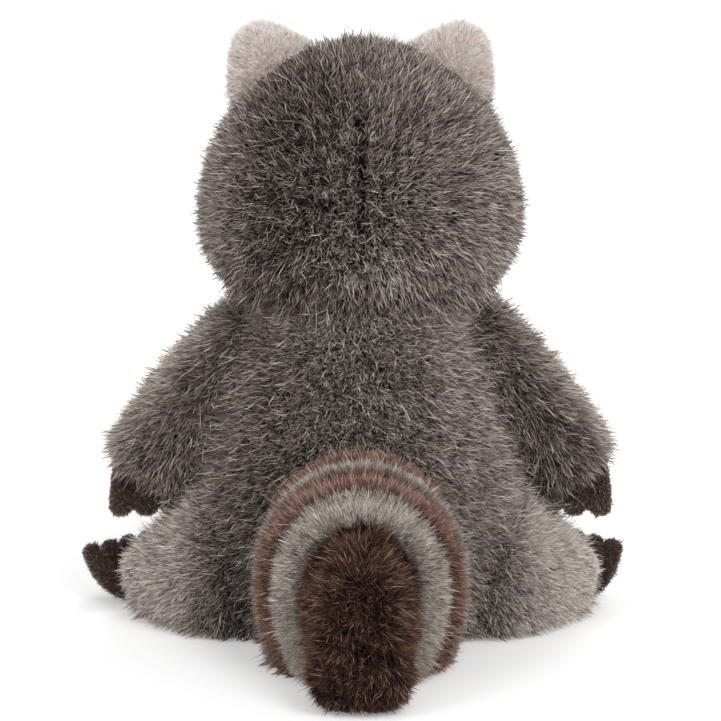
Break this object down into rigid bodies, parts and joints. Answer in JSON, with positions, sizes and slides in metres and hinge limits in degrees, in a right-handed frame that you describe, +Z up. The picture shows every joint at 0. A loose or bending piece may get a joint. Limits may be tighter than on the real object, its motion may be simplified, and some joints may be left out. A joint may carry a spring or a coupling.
{
  "type": "plush raccoon",
  "caption": "Sitting plush raccoon sewn from long-pile grey fur, with dark hands and feet, pale rounded ears and a thick banded tail on the ground.",
  "frame": {"origin": "middle of the flat seat, on the surface that the toy sits on", "axes": "the toy faces -Y, its own left is +X, +Z is up"},
  "size_m": [0.2558, 0.248, 0.2758],
  "materials": {
    "grey_plush": "long pile, grey brown",
    "ear_plush": "short dense pile, pinkish beige",
    "paw_plush": "short dense pile, dark brown",
    "brown_plush": "pile, warm brown",
    "pale_plush": "pile, pale grey",
    "tip_plush": "long pile, dark brown",
    "mask_plush": "short dense pile, dark brown",
    "muzzle_plush": "short dense pile, cream",
    "nose_plush": "short velvety pile, black",
    "eye_plastic": "glossy black"
  },
  "bodies": {
    "root": {"torso": "grey_plush", "head": "grey_plush", "muzzle": "muzzle_plush", "nose": "nose_plush", "left_ear": "ear_plush", "left_eye_mask": "mask_plush", "left_eye": "eye_plastic", "left_arm": "grey_plush", "left_hand": "paw_plush", "left_leg": "grey_plush", "left_foot": "paw_plush", "right_ear": "ear_plush", "right_eye_mask": "mask_plush", "right_eye": "eye_plastic", "right_arm": "grey_plush", "right_hand": "paw_plush", "right_leg": "grey_plush", "right_foot": "paw_plush", "tail_root_band": "brown_plush", "tail_grey_band_inner": "pale_plush", "tail_brown_band": "brown_plush", "tail_grey_band_outer": "pale_plush", "tail_tip": "tip_plush"}
  },
  "joints": []
}
